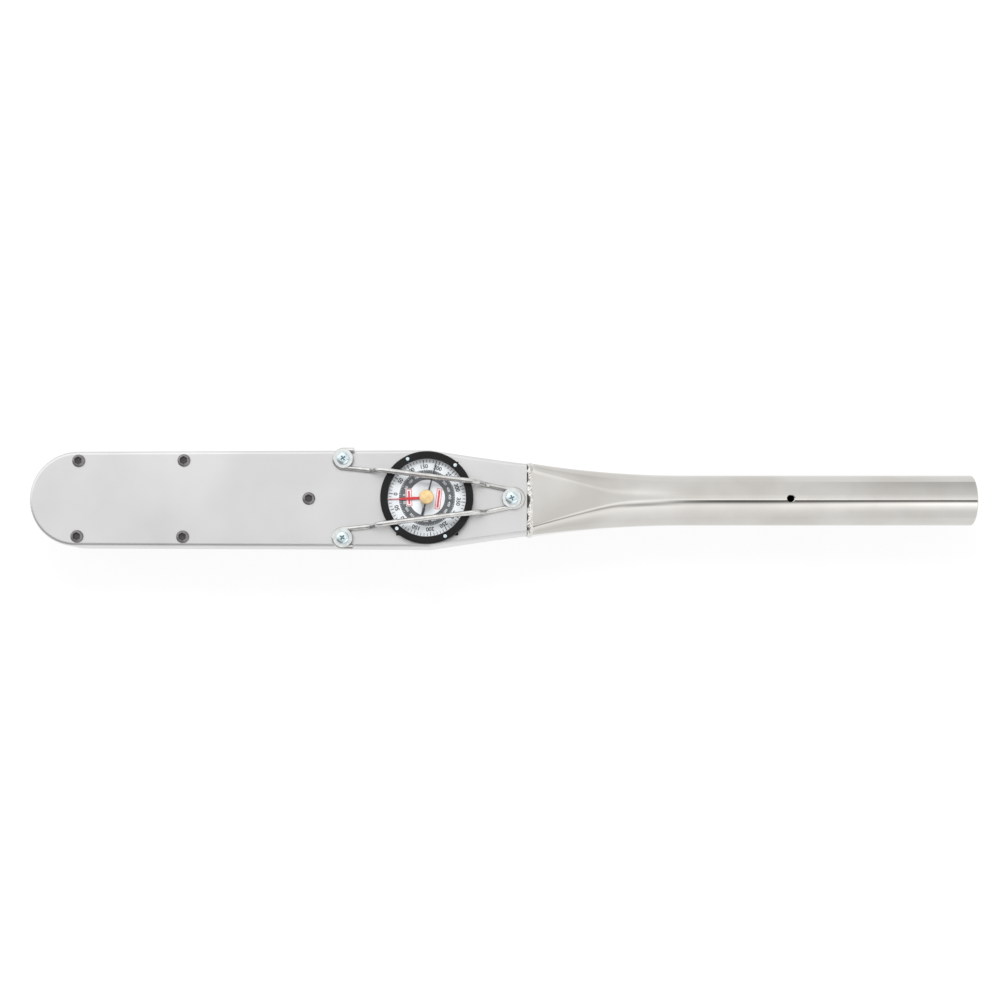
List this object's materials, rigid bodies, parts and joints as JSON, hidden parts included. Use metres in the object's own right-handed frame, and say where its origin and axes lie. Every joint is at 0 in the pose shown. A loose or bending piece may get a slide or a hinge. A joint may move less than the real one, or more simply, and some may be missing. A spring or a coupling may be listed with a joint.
{
  "type": "dial torque wrench",
  "caption": "Dial torque wrench with a square drive, a flat beam housing, a wire dial guard and an open tubular handle.",
  "frame": {"origin": "centre of the drive square's end face", "axes": "+X from the drive to the handle, +Z from the drive square to the dial, +Y across the housing"},
  "size_m": [0.7106, 0.0764, 0.0747],
  "materials": {
    "plated_steel": "satin nickel plate",
    "chrome_tube": "polished nickel-chrome plate",
    "weld_metal": "as-laid weld, plated over",
    "guard_steel": "bright drawn wire",
    "zinc": "blue zinc plate",
    "black_oxide": "black oxide",
    "black_paint": "matte black enamel",
    "frame_steel": "machined",
    "spring_steel": "ground",
    "bronze": "sintered",
    "brass": "turned",
    "dial_print": "printed enamel",
    "pointer_red": "red enamel",
    "pointer_black": "black enamel",
    "crystal": "clear polished",
    "rubber": "matte"
  },
  "bodies": {
    "housing": {"front_shell": "plated_steel", "back_cover": "plated_steel", "cover_screws": "black_oxide", "handle_tube": "chrome_tube", "weld_bead": "weld_metal", "head_frame": "frame_steel", "rear_plate": "frame_steel", "front_bush": "bronze", "rear_bush": "bronze", "housing_screws": "black_oxide", "anchor_block": "frame_steel", "anchor_rollers": "spring_steel", "tail_cleat": "frame_steel", "guard_wire": "guard_steel", "guard_screws": "zinc", "guard_washers": "zinc", "guard_nuts": "zinc", "mount_plate": "black_paint", "dial_case": "black_paint", "case_screws": "zinc", "friction_ring": "rubber", "movement_plate": "brass", "movement_pillars": "zinc", "movement_screws": "zinc", "pinion_bridge": "brass", "bridge_posts": "zinc", "arbor_bush": "bronze", "hairspring": "spring_steel", "hairspring_stud": "brass", "thrust_washers": "bronze"},
    "drive": {"drive_shaft": "chrome_tube", "deflection_beam": "spring_steel", "beam_pins": "spring_steel", "indicator_arm": "spring_steel", "arm_screws": "black_oxide", "detent_spring": "spring_steel"},
    "detent": {"detent_ball": "spring_steel"},
    "pointer": {"pinion_arbor": "spring_steel", "hairspring_collet": "brass", "pointer_hub": "black_paint", "pointer": "pointer_red"},
    "bezel_ring": {"bezel_base": "black_paint", "bezel": "black_paint", "bezel_screws": "zinc", "spacer_ring": "black_paint", "crystal": "crystal", "dial_face": "dial_print"},
    "memory": {"memory_pointer": "pointer_black", "reset_knob": "brass"}
  },
  "joints": [
    {"name": "drive_turn", "type": "hinge", "parent": "housing", "child": "drive", "pos_m": [0, 0, 0.041], "axis": [0, 0, 1], "range_deg": [-2.5, 2.5], "stiffness_Nm_per_rad": 300, "deforming": ["deflection_beam"]},
    {"name": "pointer_turn", "type": "hinge", "parent": "housing", "child": "pointer", "pos_m": [0.2628, 0, 0.05], "axis": [0, 0, 1], "range_deg": [-180, 180], "deforming": ["hairspring"]},
    {"name": "bezel_turn", "type": "hinge", "parent": "housing", "child": "bezel_ring", "pos_m": [0.2628, 0, 0.065], "axis": [0, 0, 1], "continuous": true},
    {"name": "memory_turn", "type": "hinge", "parent": "bezel_ring", "child": "memory", "pos_m": [0.2628, 0, 0.07], "axis": [0, 0, 1], "continuous": true},
    {"name": "detent_slide", "type": "slide", "parent": "drive", "child": "detent", "axis": [0, -1, 0], "range_m": [0, 0.0013], "stiffness_N_per_m": 500, "deforming": ["detent_spring"]}
  ],
  "couplings": [
    {"joint": "pointer_turn", "follows": "drive_turn", "ratio": -72}
  ]
}
